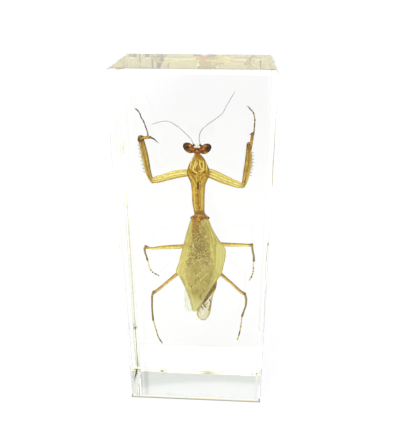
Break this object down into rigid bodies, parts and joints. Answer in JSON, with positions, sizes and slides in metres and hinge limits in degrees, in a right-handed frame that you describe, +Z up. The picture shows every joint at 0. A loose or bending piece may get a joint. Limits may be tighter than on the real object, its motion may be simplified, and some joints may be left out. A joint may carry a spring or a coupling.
{
  "type": "insect in resin block",
  "caption": "Praying mantis cast with spread legs in an upright clear resin block with softly rounded edges, for display or as a paperweight.",
  "frame": {"origin": "middle of the block's underside", "axes": "+Z up along the block's longest side and towards the insect's head, +X to the right as the insect's back is looked at, +Y away from that viewer through the block's thickness"},
  "size_m": [0.0446, 0.027, 0.1105],
  "materials": {
    "dried_insect": "satin",
    "clear_resin": "polished"
  },
  "bodies": {
    "root": {"mantis": "dried_insect", "resin_front_half": "clear_resin", "resin_back_half": "clear_resin"}
  },
  "joints": []
}
